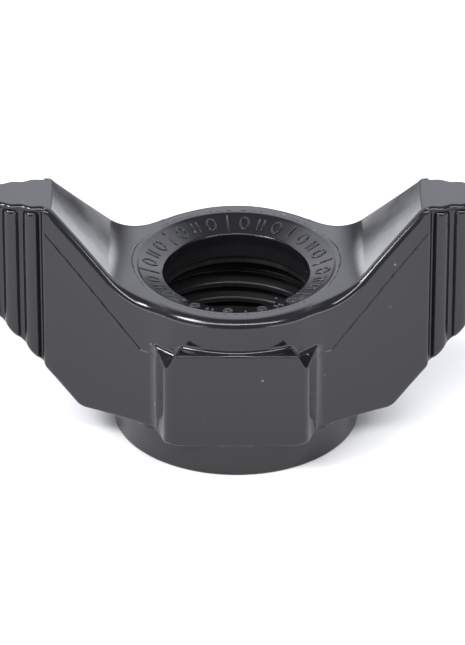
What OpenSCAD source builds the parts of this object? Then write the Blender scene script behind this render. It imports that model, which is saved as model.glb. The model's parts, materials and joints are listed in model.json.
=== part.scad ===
// Winged retaining nut: two hand wings on a hexagon nut with a round skirt, an internal thread
// and a lip with a clearance hole, and a loose seal ring under the lip.
// Millimetres. The origin is the centre of the skirt's open end, +Z runs up through the hole in
// the lip, and the wings reach out along X.

/* [Thread] */
// Outside diameter of the thread
thread_major_d = 17.46; // [15:0.01:18.2]
// Distance from one thread ridge to the next
thread_pitch = 1.5875; // [1:0.0125:1.9]
// Height of the flared entry at the mouth
entry_h = 1; // [0.4:0.1:1.5]
// Height of the plain wall between the last ridge and the lip
run_out_h = 1.95; // [1.4:0.05:3]

/* [Lip] */
// Diameter of the hole through the lip
hole_d = 13; // [9:0.1:14]
// Thickness of the lip at the edge of its hole
lip_t = 2.4; // [1:0.1:4]
// Diameter of the dished ring's outer edge
dish_d = 17.8; // [15:0.1:18.6]
// Slope of the dished ring below level, in degrees
dish_slope = 20; // [5:1:30]

/* [Hub] */
// Height of the flat rim above the skirt's open end
rim_h = 15.5; // [13:0.1:18]
// Outside diameter of the round boss
boss_d = 21.4; // [20.6:0.1:21.8]
// Radius of the rounding round the top of the boss
rim_round = 0.8; // [0.2:0.05:1.1]
// Outside diameter of the skirt
skirt_d = 22; // [21.2:0.1:22.1]
// Height of the skirt
skirt_h = 3; // [1:0.1:4]

/* [Hexagon] */
// Width across the flats
hex_w = 22.2; // [22:0.1:26]
// Height of the flats, from the skirt up
hex_h = 9.2; // [6:0.1:9.5]
// Radial depth of the chamfer on the six corners
corner_cut = 0.56; // [0.2:0.02:0.9]
// Height of the corner chamfer at the top
top_cut_h = 1.55; // [0.5:0.05:2.5]
// Height of the corner chamfer at the bottom
low_cut_h = 0.8; // [0.3:0.05:1.5]

/* [Wings] */
// Width over the two wings
span = 52; // [46:0.5:64]
// Height of the wings' level tops above the skirt's open end
wing_h = 22.5; // [20:0.1:27]
// Distance from the axis to where the level tops start
shoulder_x = 16.5; // [15:0.1:19]
// Distance from the axis to where the lower edges turn up
knee_x = 13.9; // [12:0.1:16]
// Height of the tips' upright outer edges
tip_edge_h = 6.4; // [5:0.1:9]
// Distance from the axis to the inner end of the ribbed grip
grip_x = 17.1; // [16.6:0.1:19]
// Half the web's thickness where it leaves the boss
root_half = 9.4; // [8.6:0.1:10]
// Half the web's thickness where it meets the grip
web_half = 3.05; // [3:0.05:4]
// Thickness of the grip at its inner end
grip_t = 5.9; // [4.5:0.1:6]
// Thickness of a wing at its tip
tip_t = 2.6; // [1.6:0.1:4]

/* [Grip ribs] */
// Distance from one rib to the next
rib_pitch = 1.8; // [1.2:0.1:3]
// Height of a rib above the grooves beside it
rib_h = 0.5; // [0.1:0.02:0.6]

/* [Seal ring] */
// Thickness of the seal ring
seal_t = 0.75; // [0.4:0.05:1.2]
// Gap between the seal ring and the thread's ridges
seal_gap = 0.2; // [0.1:0.05:0.4]
// Distance that the seal ring's bore stands back from the hole in the lip
seal_setback = 0.25; // [0.1:0.05:0.6]
// Gap between the seal ring and the lip above it
seat_gap = 0.04; // [0.02:0.01:0.1]

/* [Hidden] */

$fn = 96;
// Points on each rounded corner of an outline
corner_steps = 6;
// Distance that a cutting shape stands out past the face it opens
overshoot = 1;

// A 60 degree thread with flat crests and roots
thread_depth = 0.5413 * thread_pitch;
flank_h = 0.3125 * thread_pitch;
root_h = 0.125 * thread_pitch;
major_r = thread_major_d / 2;
minor_r = major_r - thread_depth;
entry_r = minor_r + entry_h;
// Room round the seal ring above the last ridge
run_out_r = minor_r + 0.23;

hole_r = hole_d / 2;
dish_r = dish_d / 2;
hole_top = rim_h - (dish_r - hole_r) * tan(dish_slope);
lip_under = hole_top - lip_t;
thread_top = lip_under - run_out_h;
groove_count = floor((thread_top - entry_h) / thread_pitch);
first_groove = thread_top - groove_count * thread_pitch;

boss_r = boss_d / 2;
skirt_r = skirt_d / 2;
skirt_edge = 0.3;
hex_corner_r = hex_w / 2 / cos(30);
hex_top = skirt_h + hex_h;

tip_x = span / 2;
// Where the rounded end of a wing begins, seen from above
tip_start_x = tip_x - tip_t / 2;
tip_low = wing_h - tip_edge_h;
rib_count = floor((tip_start_x - grip_x) / rib_pitch);
// Where each web face leaves the boss, just inside the boss's wall
root_r = boss_r - 0.05;
root_x = sqrt(root_r * root_r - root_half * root_half);
// Where the slopes of the wings' tops would meet the rim without their fillets
valley_x = dish_r + 0.85;
valley_round = 7;
shoulder_round = 0.8;
tip_round = 2.4;
knee_round = 1.3;

function unit(v) = v / norm(v);

// Points on the round that replaces corner b, between its neighbours a and c
function corner_points(a, b, c, r) =
    let (
        to_a = unit(a - b),
        to_c = unit(c - b),
        half = acos(to_a * to_c) / 2,
        centre = b + unit(to_a + to_c) * r / sin(half),
        first = b + to_a * r / tan(half) - centre,
        last = b + to_c * r / tan(half) - centre
    )
    [for (i = [0:corner_steps]) centre + r * unit(first + (last - first) * i / corner_steps)];

// A closed outline whose corners, given as [x, y, radius], are rounded where the radius is above 0
function rounded(corners) =
    let (n = len(corners), at = [for (c = corners) [c[0], c[1]]])
    [
        for (i = [0:n - 1])
            each corners[i][2] > 0
                ? corner_points(at[(i + n - 1) % n], at[i], at[(i + 1) % n], corners[i][2])
                : [at[i]]
    ];

// Half a wing's thickness, where x is a distance from the axis along the grip
function half_t(x) = grip_t / 2 + (tip_t - grip_t) / 2 * (x - grip_x) / (tip_start_x - grip_x);

// One edge of the ribbed grip seen from above, from its inner end to the last groove
function rib_edge() = [
    for (i = [0:rib_count - 1], step = [0:corner_steps - 1])
        let (share = step / corner_steps, x = grip_x + (i + share) * rib_pitch)
        [x, half_t(x) - rib_h + rib_h * sin(180 * share)]
];

module both_sides() {
    children();
    mirror([1, 0, 0]) children();
}

// The wings seen from the front
module front_outline() {
    both_sides()
        polygon(rounded([
            [0, skirt_h, 0],
            [knee_x, skirt_h, knee_round],
            [tip_x, tip_low, tip_round],
            [tip_x, wing_h, tip_round],
            [shoulder_x, wing_h, shoulder_round],
            [valley_x, rim_h, valley_round],
            [0, rim_h, 0]
        ]));
}

// The wings seen from above
module plan_outline() {
    last_groove = grip_x + rib_count * rib_pitch;
    web = [[0, root_half], [root_x, root_half], [grip_x, web_half]];
    grip = concat(rib_edge(), [[last_groove, half_t(last_groove) - rib_h]]);
    end = [
        for (a = [90:-90 / corner_steps:0]) [tip_start_x + tip_t / 2 * cos(a), tip_t / 2 * sin(a)]
    ];
    side = concat(web, grip, end);
    mirrored = [for (i = [len(side) - 2:-1:0]) [side[i][0], -side[i][1]]];
    both_sides()
        polygon(concat(side, mirrored));
}

module wings() {
    intersection() {
        translate([0, hex_w / 2, 0])
            rotate([90, 0, 0])
                linear_extrude(hex_w)
                    front_outline();
        linear_extrude(wing_h)
            plan_outline();
    }
}

module hexagon() {
    full_r = hex_corner_r - corner_cut;
    intersection() {
        translate([0, 0, skirt_h])
            cylinder(h = hex_h, r = hex_corner_r, $fn = 6);
        union() {
            translate([0, 0, skirt_h])
                cylinder(h = low_cut_h, r1 = full_r, r2 = hex_corner_r);
            translate([0, 0, skirt_h + low_cut_h])
                cylinder(h = hex_h - low_cut_h - top_cut_h, r = hex_corner_r + overshoot);
            translate([0, 0, hex_top - top_cut_h])
                cylinder(h = top_cut_h, r1 = hex_corner_r, r2 = full_r);
        }
    }
}

module boss() {
    rotate_extrude()
        polygon(concat(
            [[0, 0], [skirt_r - skirt_edge, 0], [skirt_r, skirt_edge], [skirt_r, skirt_h]],
            [[boss_r, skirt_h]],
            [
                for (a = [0:90 / corner_steps:90])
                    [boss_r - rim_round + rim_round * cos(a), rim_h - rim_round + rim_round * sin(a)]
            ],
            [[0, rim_h]]
        ));
}

// Everything inside the nut: flared entry, thread, run-out, hole and dished ring
module inside_space() {
    thread = [
        for (i = [0:groove_count - 1])
            let (z = first_groove + i * thread_pitch)
            each [
                [minor_r, z],
                [major_r, z + flank_h],
                [major_r, z + flank_h + root_h],
                [minor_r, z + 2 * flank_h + root_h]
            ]
    ];
    rotate_extrude()
        polygon(concat(
            [[0, -overshoot], [entry_r + overshoot, -overshoot], [minor_r, entry_h]],
            thread,
            [
                [minor_r, thread_top],
                [run_out_r, thread_top + (run_out_r - minor_r) * tan(30)],
                [run_out_r, lip_under],
                [hole_r, lip_under],
                [hole_r, hole_top],
                [dish_r, rim_h],
                [dish_r, rim_h + overshoot],
                [0, rim_h + overshoot]
            ]
        ));
}

module nut_body() {
    color([0.07, 0.07, 0.08])
        difference() {
            union() {
                wings();
                hexagon();
                boss();
            }
            inside_space();
        }
}

module seal_ring() {
    color([0.16, 0.16, 0.16])
        translate([0, 0, lip_under - seat_gap - seal_t])
            difference() {
                cylinder(h = seal_t, r = minor_r - seal_gap);
                translate([0, 0, -overshoot])
                    cylinder(h = seal_t + 2 * overshoot, r = hole_r + seal_setback);
            }
}

nut_body();
seal_ring();
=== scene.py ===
"""Winged retaining nut in glossy black nylon, with its loose rubber seal ring.

The nut is one moulding, worked out as a signed distance in millimetres (below 0 inside the
plastic), meshed, and drawn onto the true surface. Raised marks on its dished ring are a second mesh.
"""

import json
import math

import bmesh
import bpy
import numpy as np
import openvdb
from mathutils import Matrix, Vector


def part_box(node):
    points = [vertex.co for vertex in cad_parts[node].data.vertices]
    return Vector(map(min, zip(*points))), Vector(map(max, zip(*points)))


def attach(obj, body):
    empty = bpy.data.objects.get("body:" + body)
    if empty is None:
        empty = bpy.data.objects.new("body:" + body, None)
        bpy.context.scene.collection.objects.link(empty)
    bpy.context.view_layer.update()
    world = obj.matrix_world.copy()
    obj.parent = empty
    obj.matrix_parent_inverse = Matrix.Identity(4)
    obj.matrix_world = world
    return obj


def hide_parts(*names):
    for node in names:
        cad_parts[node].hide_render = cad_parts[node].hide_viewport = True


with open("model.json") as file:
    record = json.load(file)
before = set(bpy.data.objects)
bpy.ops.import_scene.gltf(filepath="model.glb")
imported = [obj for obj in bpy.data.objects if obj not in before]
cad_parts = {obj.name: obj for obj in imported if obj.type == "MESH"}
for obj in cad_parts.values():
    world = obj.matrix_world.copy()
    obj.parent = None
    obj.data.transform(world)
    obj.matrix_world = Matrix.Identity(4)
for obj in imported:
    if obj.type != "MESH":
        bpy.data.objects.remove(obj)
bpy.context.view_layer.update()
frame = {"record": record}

MM = 0.001
MOUNTS = {mount["name"]: mount for mount in frame["record"]["mounts"]}


# ---------------------------------------------------------------- sizes from the frame, in mm

def node_box(node):
    low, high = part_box(node)
    return np.array(low) / MM, np.array(high) / MM


NUT_LOW, NUT_HIGH = node_box("nut_body")
SEAL_LOW, SEAL_HIGH = node_box("seal_ring")

TIP_X = NUT_HIGH[0]
WING_TOP = NUT_HIGH[2]
HEX_FLAT = NUT_HIGH[1] - 0.01
HOLE_R = MOUNTS["tip_hole"]["dims"]["r_mm"]
THREAD_MINOR = MOUNTS["thread"]["dims"]["r_mm"]

# The same sizes as the CAD model's driving values
RIM_TOP = 15.5
BOSS_R = 10.7
DISH_R = 8.9
DISH_SLOPE = math.radians(20)
LIP_T = 2.4
SKIRT_R = 11.0
SKIRT_TOP = 3.0
HEX_CORNER_R = HEX_FLAT / math.cos(math.radians(30))
CORNER_CUT = 0.56
LOW_CUT_H = 0.8
KNEE_X = 13.9
TIP_EDGE_H = 6.4
GRIP_X = 17.1
WEB_HALF = 3.05
GRIP_HALF = 2.95
TIP_HALF = 1.3
RIB_PITCH = 1.8
RIB_COUNT = 4
RIB_H = 0.5
SEAL_SETBACK = 0.25
SHOULDER_ROUND = 0.8
KNEE_ROUND = 1.3
TIP_ROUND = 2.4

PITCH = 1.5875
THREAD_DEPTH = 0.5413 * PITCH
THREAD_MAJOR = THREAD_MINOR + THREAD_DEPTH
CREST_HALF = PITCH / 8
RUN_OUT_R = THREAD_MINOR + 0.23
RUN_OUT_H = 1.95
ENTRY_H = 1.0

# Finer than the CAD model: the hexagon's ledge, and the slopes and faces between wing and boss
HEX_TOP = 12.35
SHOULDER_X = 16.25
VALLEY_X = 9.38
VALLEY_ROUND = 6.4
ROOT_X = 5.93
ROOT_HALF = 8.9

# Fall of the wings' sloping tops to the front and back, per square millimetre from the middle,
# and the length over which it sets in
CROWN = 0.01
CROWN_RUN = 5.0
# Depth of the hollow in each web face
WEB_HOLLOW = 0.4
# The hexagon's side faces, turned from X and at their distance from the axis
SIDE_LEAN = math.radians(18)
SIDE_AWAY = 9.35
# The pockets at the top of the side faces: the floor's height at the flat, its slope up to the
# boss, and the outward direction and distance of the wall between the pocket and the flat
POCKET_FLOOR = 10.9
POCKET_SLOPE = 0.25
POCKET_WALL = (0.841, -0.278, 0.464)
POCKET_WALL_AWAY = 7.2
# Half the width of a grip rib, its roundings, and the fillet in the grooves
RIB_HALF = 0.74
RIB_ROUND = 0.7
RIB_END_ROUND = 0.45
GROOVE_FILLET = 0.08
# How far below the level top the ribs and their grooves end
RIB_END = 0.5
GROOVE_END = 0.3
# How far the level top's outline runs in and out with the ribs
TOP_WAVE = 0.2
# The mould's parting line over one wing: distance from the axis, height
PARTING_LINE = ((0, 10.55), (8.4, 10.55), (11.6, 14.0), (17.0, 20.1), (30.0, 20.5))
# Height of the step at the parting line, on the hexagon and boss and on the web
HUB_STEP = 0.02
WEB_STEP = 0.08

# Radii along the top edges: round the rim, beside the wings, and on the wings' level tops
RIM_ROUND = 0.85
BESIDE_ROUND = 1.05
TOP_ROUND = 0.45
# Radii of the other roundings and fillets
FINE_ROUND = 0.12
BORE_ROUND = 0.08
CREST_ROUND = 0.15
LIP_ROUND = 0.1
CORNER_ROUND = 0.6
LEDGE_ROUND = 0.25
LEDGE_FILLET = 0.4
LOWER_ROUND = 0.3
SKIRT_ROUND = 0.15

# The dished ring's step below the rim, and the raised marks on it, cords let a little into it
DISH_STEP = 0.06
MARK_COUNT = 32
MARK_CORD = 0.11
MARK_SUNK = 0.02

# Cell of the grid that the moulding is meshed on
FINE_CELL = 0.13

HOLE_TOP = RIM_TOP - (DISH_R - HOLE_R) * math.tan(DISH_SLOPE)
LIP_UNDER = HOLE_TOP - LIP_T
THREAD_TOP = LIP_UNDER - RUN_OUT_H


# ---------------------------------------------------------------- signed distance tools

def join(a, b, fillet):
    """Both shapes, with a concave fillet where they meet."""
    corner = np.hypot(np.maximum(fillet - a, 0), np.maximum(fillet - b, 0))
    return np.maximum(fillet, np.minimum(a, b)) - corner


def common(a, b, rounding):
    """What both shapes share, with a rounded edge where their surfaces cross."""
    corner = np.hypot(np.maximum(rounding + a, 0), np.maximum(rounding + b, 0))
    return np.minimum(-rounding, np.maximum(a, b)) + corner


def shallow(radius, turn):
    """The rounding that `common` needs for a true radius where surfaces turn by under 90 degrees."""
    return radius * math.tan(turn / 2) * math.sin(turn)


def smooth_step(t):
    """From 0 to 1 as t does, level at both ends."""
    t = np.clip(t, 0, 1)
    return t * t * (3 - 2 * t)


def line(x, y, start, end):
    """Signed distance from the line through two points, above 0 on its left."""
    along_x, along_y = end[0] - start[0], end[1] - start[1]
    length = math.hypot(along_x, along_y)
    return (along_x * (y - start[1]) - along_y * (x - start[0])) / length


# ---------------------------------------------------------------- outside of the nut

# The outside is the same left and right, and front and back, so x and y below are distances from
# its two planes of symmetry.

def top_surface(x, y, z):
    """Under the flat rim, and under the wing's sloping and level top."""
    rise = math.atan2(WING_TOP - RIM_TOP, SHOULDER_X - VALLEY_X)
    start = VALLEY_X - VALLEY_ROUND * math.tan(rise / 2)
    turn = np.arcsin(np.clip((x - start) / VALLEY_ROUND, 0, math.sin(rise)))
    straight = np.maximum(x - start - VALLEY_ROUND * math.sin(rise), 0)
    crown = CROWN * y * y * smooth_step((x - start) / CROWN_RUN)
    height = RIM_TOP + VALLEY_ROUND * (1 - np.cos(turn)) + straight * math.tan(rise) - crown
    return common((z - height) * np.cos(turn), z - WING_TOP, shallow(SHOULDER_ROUND, rise))


def lower_surface(x, z):
    """Above the level bottom of the web and the rising lower edge of the wing."""
    rise = math.atan2(WING_TOP - TIP_EDGE_H - SKIRT_TOP, TIP_X - KNEE_X)
    rising = (x - KNEE_X) * math.sin(rise) - (z - SKIRT_TOP) * math.cos(rise)
    knee = common(SKIRT_TOP - z, rising, shallow(KNEE_ROUND, rise))
    return common(knee, x - TIP_X, shallow(TIP_ROUND, math.pi / 2 - rise))


def web_plan(x, y):
    """The web's face, hollowed a little between the boss and the grip."""
    chord = line(x, y, (GRIP_X, WEB_HALF), (ROOT_X, ROOT_HALF))
    share = np.clip((x - ROOT_X) / (GRIP_X - ROOT_X), 0, 1)
    return -chord + WEB_HOLLOW * 4 * share * (1 - share)


def grip_plan(x, y, z):
    """The grip: upright pillow-shaped ribs, each stepped in from the last, over narrow grooves."""
    taper = (GRIP_HALF - TIP_HALF) / (TIP_X - TIP_HALF - GRIP_X)
    below_top = smooth_step((WING_TOP - GROOVE_END - z) / 0.35)
    wave = TOP_WAVE / 2 * (1 + np.cos(2 * math.pi * (x - GRIP_X) / RIB_PITCH))
    depth = RIB_H * below_top + wave * (1 - below_top)
    grip = (y - GRIP_HALF + (x - GRIP_X) * taper + depth) / math.hypot(1, taper)
    for i in range(RIB_COUNT):
        along = (i + 0.5) * RIB_PITCH
        rib = common(np.abs(x - GRIP_X - along) - RIB_HALF, y - GRIP_HALF + along * taper, RIB_ROUND)
        rib = common(rib, z - WING_TOP + RIB_END, RIB_END_ROUND)
        grip = join(grip, rib, GROOVE_FILLET)
    return grip


def wing_plan(x, y, z):
    """The web, and beyond its upright end the ribbed grip."""
    web = common(web_plan(x, y), x - GRIP_X, 0.2)
    return np.maximum(np.minimum(web, grip_plan(x, y, z)), ROOT_X - x)


def hexagon(x, y, z, r):
    """The wrench hexagon: side faces pocketed at the top, corners chamfered at the bottom."""
    side_face = x * math.cos(SIDE_LEAN) + y * math.sin(SIDE_LEAN) - SIDE_AWAY
    sides = common(y - HEX_FLAT, side_face, CORNER_ROUND)
    wall = POCKET_WALL[0] * x + POCKET_WALL[1] * y + POCKET_WALL[2] * z - POCKET_WALL_AWAY
    floor = z - POCKET_FLOOR - POCKET_SLOPE * (HEX_FLAT - y)
    pocket = join(wall, floor / math.hypot(1, POCKET_SLOPE), 0.1)
    lean = math.atan2(CORNER_CUT, LOW_CUT_H)
    start_r = HEX_CORNER_R - CORNER_CUT
    chamfer = (r - start_r) * math.cos(lean) + (SKIRT_TOP - z) * math.sin(lean)
    cut = common(common(sides, pocket, FINE_ROUND), chamfer, FINE_ROUND)
    return common(cut, z - HEX_TOP, LEDGE_ROUND)


def parting_step(x, z):
    """How far the surface above the mould's parting line stands in from the surface below it."""
    on_web = smooth_step((x - 6) / 2) * smooth_step((GRIP_X - 0.1 - x) / 0.3)
    step = HUB_STEP + (WEB_STEP - HUB_STEP) * on_web
    return step * smooth_step((z - np.interp(x, *zip(*PARTING_LINE))) / 0.24)


def edge_round(x):
    """Radius of the rounding along the top edges, wider beside the wings and finer on top of them."""
    beside = smooth_step((x - 1) / 4) * (1 - smooth_step((x - 7.5) / 4))
    on_top = smooth_step(x - 16)
    return RIM_ROUND + (BESIDE_ROUND - RIM_ROUND) * beside + (TOP_ROUND - RIM_ROUND) * on_top


def outside(x, y, z):
    """The nut without its hole: boss, wings, hexagon and skirt."""
    x, y = np.abs(x), np.abs(y)
    r = np.hypot(x, y)
    plan = np.minimum(r - BOSS_R, wing_plan(x, y, z))
    top = common(top_surface(x, y, z), x - TIP_X, TIP_ROUND)
    body = common(plan, top, edge_round(x))
    body = join(body, hexagon(x, y, z, r), LEDGE_FILLET)
    body = common(body, lower_surface(x, z), LOWER_ROUND)
    skirt = common(common(r - SKIRT_R, -z, SKIRT_ROUND), z - SKIRT_TOP - 0.05, 0.05)
    return join(body + parting_step(x, z), skirt, SKIRT_ROUND)


# ---------------------------------------------------------------- inside of the nut

def thread(r, angle, z):
    """The right-hand ridge, crests at the minor radius, standing on the wall at the major radius."""
    first = THREAD_TOP - CREST_HALF - PITCH / 4
    turns = (z - first) / PITCH - angle / (2 * math.pi)
    away = np.abs(turns - np.round(turns)) * PITCH
    flank = (away - CREST_HALF) * math.cos(math.radians(30)) - (r - THREAD_MINOR) / 2
    ridge = common(THREAD_MINOR - r, flank, CREST_ROUND)
    return join(ridge, THREAD_MAJOR - r, FINE_ROUND)


def inside(x, y, z):
    """Plastic outside the hole, the bore and its thread, and the dished ring."""
    r = np.hypot(x, y)
    angle = np.arctan2(y, x)
    run_out = common(RUN_OUT_R - r, THREAD_TOP - z, BORE_ROUND)
    lip = common(HOLE_R - r, LIP_UNDER - z, LIP_ROUND)
    wall = join(join(thread(r, angle, z), run_out, BORE_ROUND), lip, FINE_ROUND)
    wall = common(wall, (THREAD_MINOR + ENTRY_H - z - r) * math.sqrt(0.5), BORE_ROUND)
    inward = DISH_R - r
    step = DISH_STEP * smooth_step(inward / 0.3)
    bend = (inward + np.hypot(inward, FINE_ROUND)) / 2
    # Past the ring's outer edge the surface turns up, clear of the rim
    lift = 3 * np.maximum(-inward - 0.25, 0)
    cone = RIM_TOP - bend * math.tan(DISH_SLOPE) - step + lift
    return common(wall, (z - cone) * math.cos(DISH_SLOPE), FINE_ROUND)


def nut(x, y, z):
    """Signed distance of the whole moulding."""
    return common(outside(x, y, z), inside(x, y, z), 0.06)


# ---------------------------------------------------------------- mesh of a signed distance

def gradient(shape, points, step=0.01):
    """How the signed distance changes along each axis at the points."""
    out = np.empty_like(points)
    for axis in range(3):
        ahead, behind = points.copy(), points.copy()
        ahead[:, axis] += step
        behind[:, axis] -= step
        out[:, axis] = (shape(*ahead.T) - shape(*behind.T)) / (2 * step)
    return out


def surface(shape, low, high, cell):
    """Vertices, faces and unit normals of the shape's zero surface, the vertices drawn onto it."""
    counts = np.ceil((high - low) / cell).astype(int) + 1
    axes = [low[i] + cell * np.arange(counts[i]) for i in range(3)]
    x, y = (a.astype(np.float32) for a in np.meshgrid(axes[0], axes[1], indexing="ij"))
    field = np.empty(counts, np.float32)
    for k, height in enumerate(axes[2]):
        field[:, :, k] = shape(x, y, np.full_like(x, height))
    limit = 3 * cell
    grid = openvdb.FloatGrid(limit)
    grid.copyFromArray(np.clip(field, -limit, limit))
    points, triangles, quads = grid.convertToPolygons(isovalue=0.0, adaptivity=0.0)
    points = points.astype(np.float64) * cell + low
    for _ in range(3):
        slope = gradient(shape, points)
        length = np.maximum((slope**2).sum(1), 0.05)
        move = shape(*points.T) / length
        points -= np.clip(move, -cell / 2, cell / 2)[:, None] * slope
    normals = gradient(shape, points)
    normals /= np.maximum(np.linalg.norm(normals, axis=1), 1e-9)[:, None]
    return points, triangles, quads, normals


def add_object(name, data):
    """A new object in the scene, with the mesh, light or camera given."""
    obj = bpy.data.objects.new(name, data)
    bpy.context.scene.collection.objects.link(obj)
    return obj


def mesh_object(name, points, triangles, quads, normals):
    """An object from plain arrays, its shading drawn from the true normals."""
    corners = np.concatenate([triangles.ravel(), quads.ravel()]).astype(np.int32)
    sizes = np.concatenate([np.full(len(triangles), 3), np.full(len(quads), 4)])
    starts = np.concatenate([[0], np.cumsum(sizes)[:-1]]).astype(np.int32)
    mesh = bpy.data.meshes.new(name)
    mesh.vertices.add(len(points))
    mesh.vertices.foreach_set("co", (points * MM).astype(np.float32).ravel())
    mesh.loops.add(len(corners))
    mesh.loops.foreach_set("vertex_index", corners)
    mesh.polygons.add(len(sizes))
    mesh.polygons.foreach_set("loop_start", starts)
    mesh.update(calc_edges=True)
    mesh.validate()
    mesh.shade_smooth()
    mesh.normals_split_custom_set_from_vertices(normals.tolist())
    return add_object(name, mesh)


def bmesh_object(name, mesh_name, bm):
    """An object from a finished bmesh."""
    bmesh.ops.recalc_face_normals(bm, faces=bm.faces)
    mesh = bpy.data.meshes.new(mesh_name)
    bm.to_mesh(mesh)
    bm.free()
    mesh.shade_smooth()
    return add_object(name, mesh)


# ---------------------------------------------------------------- materials

def connect(tree, value, socket):
    """Link an output to a socket, or set the socket to a plain number."""
    if isinstance(value, (int, float)):
        socket.default_value = value
    else:
        tree.links.new(value, socket)


def node_maths(tree, operation, *values):
    """The output of a maths node on outputs or plain numbers."""
    node = tree.nodes.new("ShaderNodeMath")
    node.operation = operation
    for socket, value in zip(node.inputs, values):
        connect(tree, value, socket)
    return node.outputs[0]


def ramp(tree, value, start, end, low=0.0, high=1.0):
    """A smooth change from low to high as the value goes from start to end."""
    node = tree.nodes.new("ShaderNodeMapRange")
    node.interpolation_type = "SMOOTHSTEP"
    for socket, given in zip(node.inputs, (value, start, end, low, high)):
        connect(tree, given, socket)
    return node.outputs[0]


def split_axes(tree, vector):
    """The x, y and z of a vector."""
    node = tree.nodes.new("ShaderNodeSeparateXYZ")
    tree.links.new(vector, node.inputs[0])
    return node.outputs


def noise(tree, place, scale, detail):
    """Cloudy noise from 0 to 1."""
    node = tree.nodes.new("ShaderNodeTexNoise")
    tree.links.new(place, node.inputs["Vector"])
    node.inputs["Scale"].default_value = scale
    node.inputs["Detail"].default_value = detail
    return node.outputs[0]


def mix_colours(tree, shader, factor, first, second):
    """Set the shader's colour to a mix of two."""
    node = tree.nodes.new("ShaderNodeMix")
    node.data_type = "RGBA"
    connect(tree, factor, node.inputs["Factor"])
    node.inputs["A"].default_value = (*first, 1)
    node.inputs["B"].default_value = (*second, 1)
    tree.links.new(node.outputs["Result"], shader.inputs["Base Color"])


def add_bump(tree, shader, height, strength):
    """Bump the shader's surface, by 0.02 mm where the height is 1."""
    node = tree.nodes.new("ShaderNodeBump")
    node.inputs["Strength"].default_value = strength
    node.inputs["Distance"].default_value = 0.02 * MM
    connect(tree, height, node.inputs["Height"])
    tree.links.new(node.outputs["Normal"], shader.inputs["Normal"])


def principled(name, **values):
    """A new material, and its main shader with some sockets set."""
    material = bpy.data.materials.new(name)
    material.use_nodes = True
    shader = material.node_tree.nodes["Principled BSDF"]
    for socket, value in values.items():
        shader.inputs[socket.replace("_", " ")].default_value = value
    return material, shader


def bore_share(tree, place):
    """1 in the bore from the middle of the lip down, and 0 elsewhere on the nut."""
    x, y, z = split_axes(tree, place)
    y_squared = node_maths(tree, "MULTIPLY", y, y)
    away = node_maths(tree, "SQRT", node_maths(tree, "MULTIPLY_ADD", x, x, y_squared))
    in_bore = ramp(tree, away, 9.0 * MM, 8.6 * MM)
    below_lip = ramp(tree, z, 13.8 * MM, 13.2 * MM)
    return node_maths(tree, "MULTIPLY", in_bore, below_lip)


def black_nylon():
    """Polished nylon: faint waves, cloudier patches, a duller bore whose colour is painted paler as
    painted light, and a few specks of dust.
    """
    material, shader = principled("black_nylon", IOR=1.53)
    tree = material.node_tree
    place = tree.nodes.new("ShaderNodeTexCoord").outputs["Object"]
    bore = bore_share(tree, place)
    specks = ramp(tree, noise(tree, place, scale=1500.0, detail=1.0), 0.79, 0.82)
    polish = ramp(tree, noise(tree, place, scale=260.0, detail=3.0), 0.3, 0.7, 0.07, 0.17)
    dusty = node_maths(tree, "MULTIPLY_ADD", specks, 0.4, polish)
    roughness = node_maths(tree, "MULTIPLY_ADD", bore, 0.2, dusty)
    connect(tree, roughness, shader.inputs["Roughness"])
    connect(tree, ramp(tree, bore, 0.0, 1.0, 0.5, 0.25), shader.inputs["Specular IOR Level"])
    # The bore's base colour is painted paler: painted light standing in for the light in the bore. The
    # specks are real dust.
    dust_and_painted_bore_light = node_maths(tree, "MAXIMUM", specks, node_maths(tree, "MULTIPLY", bore, 0.03))
    mix_colours(tree, shader, dust_and_painted_bore_light, (0.010, 0.010, 0.012), (0.16, 0.16, 0.17))
    add_bump(tree, shader, noise(tree, place, scale=420.0, detail=2.0), 0.5)
    return material


def black_rubber():
    """Matte rubber with a fine grain and patches of greyer bloom."""
    material, shader = principled("black_rubber", IOR=1.5)
    tree = material.node_tree
    place = tree.nodes.new("ShaderNodeTexCoord").outputs["Object"]
    bloom = ramp(tree, noise(tree, place, scale=300.0, detail=3.0), 0.4, 0.7)
    mix_colours(tree, shader, bloom, (0.016, 0.016, 0.016), (0.034, 0.034, 0.036))
    connect(tree, ramp(tree, bloom, 0.0, 1.0, 0.5, 0.7), shader.inputs["Roughness"])
    add_bump(tree, shader, noise(tree, place, scale=6000.0, detail=2.0), 0.6)
    return material


# ---------------------------------------------------------------- pieces

def make_nut():
    """The moulding and the raised marks on its dished ring."""
    cell = FINE_CELL
    margin = np.full(3, 3 * cell)
    obj = mesh_object("nut_moulding", *surface(nut, NUT_LOW - margin, NUT_HIGH + margin, cell))
    nylon = black_nylon()
    for piece in (obj, make_marks()):
        piece.data.materials.append(nylon)
        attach(piece, "nut")
        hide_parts("nut_body")


def tube(bm, path, radius, closed):
    """A round cord along a path of points, its ends drawn in to blunt points."""
    sides = 8
    end_share = 0.3
    rings = []
    count = len(path)
    for i, point in enumerate(path):
        ahead = path[(i + 1) % count] if closed or i < count - 1 else point
        behind = path[i - 1] if closed or i > 0 else point
        along = (ahead - behind).normalized()
        across = along.cross(Vector((0, 0, 1))).normalized()
        up = across.cross(along)
        girth = radius if closed or 0 < i < count - 1 else radius * end_share
        rings.append([
            bm.verts.new((point + girth * (across * math.cos(a) + up * math.sin(a))) * MM)
            for a in (2 * math.pi * k / sides for k in range(sides))
        ])
    for i in range(count if closed else count - 1):
        here, there = rings[i], rings[(i + 1) % count]
        for k in range(sides):
            bm.faces.new((here[k], here[(k + 1) % sides], there[(k + 1) % sides], there[k]))
    if not closed:
        bm.faces.new(rings[0])
        bm.faces.new(rings[-1][::-1])


def stroke(along, half):
    """A straight stroke across the ring, with a short stretch at each end to draw to a point."""
    end = half - 0.15
    return [(along, t) for t in (-half, -end, 0, end, half)]


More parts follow.
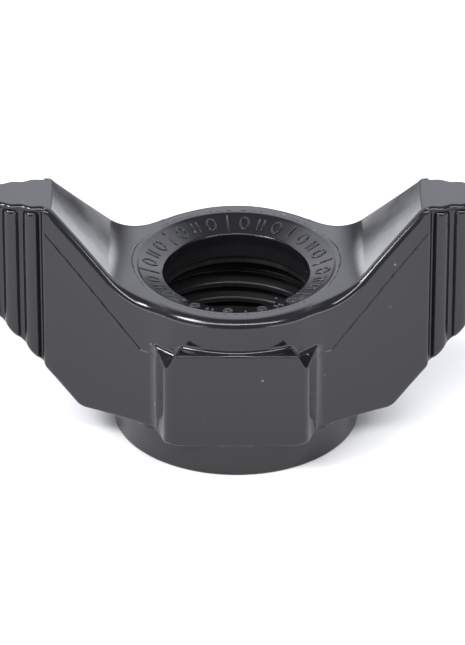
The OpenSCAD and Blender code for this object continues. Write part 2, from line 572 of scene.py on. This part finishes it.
def mark_paths(kind):
    """A mark's paths, as (along the ring, away from the axis) round its centre, and if they close."""
    if kind == "bar":
        return [(stroke(0, 0.95), False)]
    if kind == "pair":
        return [(stroke(along, 0.65), False) for along in (-0.24, 0.24)]
    angles = [2 * math.pi * k / 16 for k in range(16)]
    return [([(0.38 * math.cos(a), 0.62 * math.sin(a)) for a in angles], True)]


def make_marks():
    """A moulded ring of raised bars, pairs and loops on the dished ring."""
    bm = bmesh.new()
    kinds = ("bar", "loop", "pair", "loop")
    centre = (HOLE_R + DISH_R) / 2
    for i in range(MARK_COUNT):
        turn = 2 * math.pi * (i + 0.5) / MARK_COUNT
        for points, closed in mark_paths(kinds[i % len(kinds)]):
            path = []
            for along, out in points:
                r = centre + out
                a = turn + along / centre
                floor = RIM_TOP - DISH_STEP - (DISH_R - r) * math.tan(DISH_SLOPE)
                path.append(Vector((r * math.cos(a), r * math.sin(a), floor - MARK_SUNK)))
            tube(bm, path, MARK_CORD, closed)
    return bmesh_object("ring_marks", "marks", bm)


def seal_section(rounding=0.15, steps=5):
    """The seal's section with rounded corners, as (distance from the axis, height)."""
    outer = SEAL_HIGH[0]
    inner = HOLE_R + SEAL_SETBACK
    half_r = (outer - inner) / 2 - rounding
    half_h = (SEAL_HIGH[2] - SEAL_LOW[2]) / 2 - rounding
    middle = (SEAL_LOW[2] + SEAL_HIGH[2]) / 2
    section = []
    for quarter, (side, level) in enumerate([(1, 1), (-1, 1), (-1, -1), (1, -1)]):
        for i in range(steps + 1):
            a = math.pi / 2 * (quarter + i / steps)
            r = (outer + inner) / 2 + side * half_r + rounding * math.cos(a)
            section.append((r, middle + level * half_h + rounding * math.sin(a)))
    return section


def make_seal():
    """A flat ring with rounded edges, spun from its section."""
    section = seal_section()
    bm = bmesh.new()
    turns = 160
    rings = []
    for t in range(turns):
        a = 2 * math.pi * t / turns
        rings.append([
            bm.verts.new((r * math.cos(a) * MM, r * math.sin(a) * MM, z * MM)) for r, z in section
        ])
    for t in range(turns):
        here, there = rings[t], rings[(t + 1) % turns]
        for i in range(len(section)):
            j = (i + 1) % len(section)
            bm.faces.new((here[i], there[i], there[j], here[j]))
    obj = bmesh_object("rubber_seal", "seal", bm)
    obj.data.materials.append(black_rubber())
    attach(obj, "seal")
    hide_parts("seal_ring")


# ---------------------------------------------------------------- stage, lights and camera

def make_floor():
    """A plain pale floor that glows a little beyond the nut's skirt."""
    mesh = bpy.data.meshes.new("floor")
    half = 0.5
    corners = [(-half, -half, 0), (half, -half, 0), (half, half, 0), (-half, half, 0)]
    mesh.from_pydata(corners, [], [(0, 1, 2, 3)])
    floor = add_object("floor", mesh)
    material, shader = principled("pale_floor", Roughness=1.0)
    shader.inputs["Base Color"].default_value = (0.85, 0.85, 0.85, 1)
    shader.inputs["Specular IOR Level"].default_value = 0
    tree = material.node_tree
    away = tree.nodes.new("ShaderNodeVectorMath")
    away.operation = "LENGTH"
    tree.links.new(tree.nodes.new("ShaderNodeTexCoord").outputs["Object"], away.inputs[0])
    shader.inputs["Emission Color"].default_value = (1, 1, 1, 1)
    glow = ramp(tree, away.outputs["Value"], 10.5 * MM, 13.0 * MM, 0.0, 0.1)
    tree.links.new(glow, shader.inputs["Emission Strength"])
    floor.data.materials.append(material)


def make_panel(name, azimuth, elevation, width, height, radiance, distance=2.0):
    """A soft light panel that faces the origin. Azimuth 0 is behind the nut and 90 on its right."""
    az, el = math.radians(azimuth), math.radians(elevation)
    place = Vector((math.sin(az) * math.cos(el), math.cos(az) * math.cos(el), math.sin(el))) * distance
    light = bpy.data.lights.new(name, "AREA")
    light.shape = "RECTANGLE"
    light.size = width
    light.size_y = height
    light.energy = radiance * width * height * math.pi
    obj = add_object(name, light)
    obj.location = place
    obj.rotation_euler = (-place).to_track_quat("-Z", "Y").to_euler()


def make_sky():
    """A dim studio: a broad soft glow behind the nut, and a low bright band on each side.

    The ramps run over x, y and z of the unit direction, so z is the sine of the height.
    """
    world = bpy.data.worlds.new("studio")
    world.use_nodes = True
    tree = world.node_tree
    direction = tree.nodes.new("ShaderNodeTexCoord").outputs["Generated"]
    x, y, z = split_axes(tree, direction)
    rising = ramp(tree, z, 0.1, 0.47)
    falling = ramp(tree, z, 0.72, 0.9, 1.0, 0.0)
    behind = ramp(tree, y, -0.1, 0.3)
    back = node_maths(tree, "MULTIPLY", node_maths(tree, "MULTIPLY", rising, falling), behind)
    over_floor = ramp(tree, z, -0.03, 0.1)
    low = node_maths(tree, "MULTIPLY", over_floor, ramp(tree, z, 0.12, 0.28, 1.0, 0.0))
    aside = ramp(tree, node_maths(tree, "ABSOLUTE", x), 0.43, 0.56)
    side = node_maths(tree, "MULTIPLY", aside, low)
    glow = node_maths(tree, "MULTIPLY_ADD", back, 1.75, 0.25)
    strength = node_maths(tree, "MULTIPLY_ADD", side, 4.2, glow)
    background = tree.nodes["Background"]
    background.inputs["Color"].default_value = (0.96, 0.98, 1.06, 1)
    tree.links.new(strength, background.inputs["Strength"])
    bpy.context.scene.world = world


def make_lights():
    """The dim studio, a wide panel high in front and a small softbox on the left."""
    make_sky()
    make_panel("front_panel", azimuth=180, elevation=55, width=2.8, height=0.32, radiance=13.0)
    make_panel("left_softbox", azimuth=240, elevation=50, width=0.45, height=0.45, radiance=28.0)


def make_camera():
    """A long lens in front of the nut, looking down at it without a tilt to either side."""
    data = bpy.data.cameras.new("camera")
    distance = 0.5
    elevation = math.radians(30.82)
    # The sensor's width spans the taller side of the picture
    view_height = 0.05757
    data.lens = data.sensor_width * distance / view_height
    data.clip_start = 0.01
    aim = Vector((-0.00033, 0, 0.00919))
    obj = add_object("camera", data)
    obj.location = aim + distance * Vector((0, -math.cos(elevation), math.sin(elevation)))
    obj.rotation_euler = (math.pi / 2 - elevation, 0, 0)
    bpy.context.scene.camera = obj


make_camera()
make_nut()
make_seal()
make_floor()
make_lights()
bpy.context.scene.view_settings.view_transform = "Standard"

bpy.context.view_layer.update()
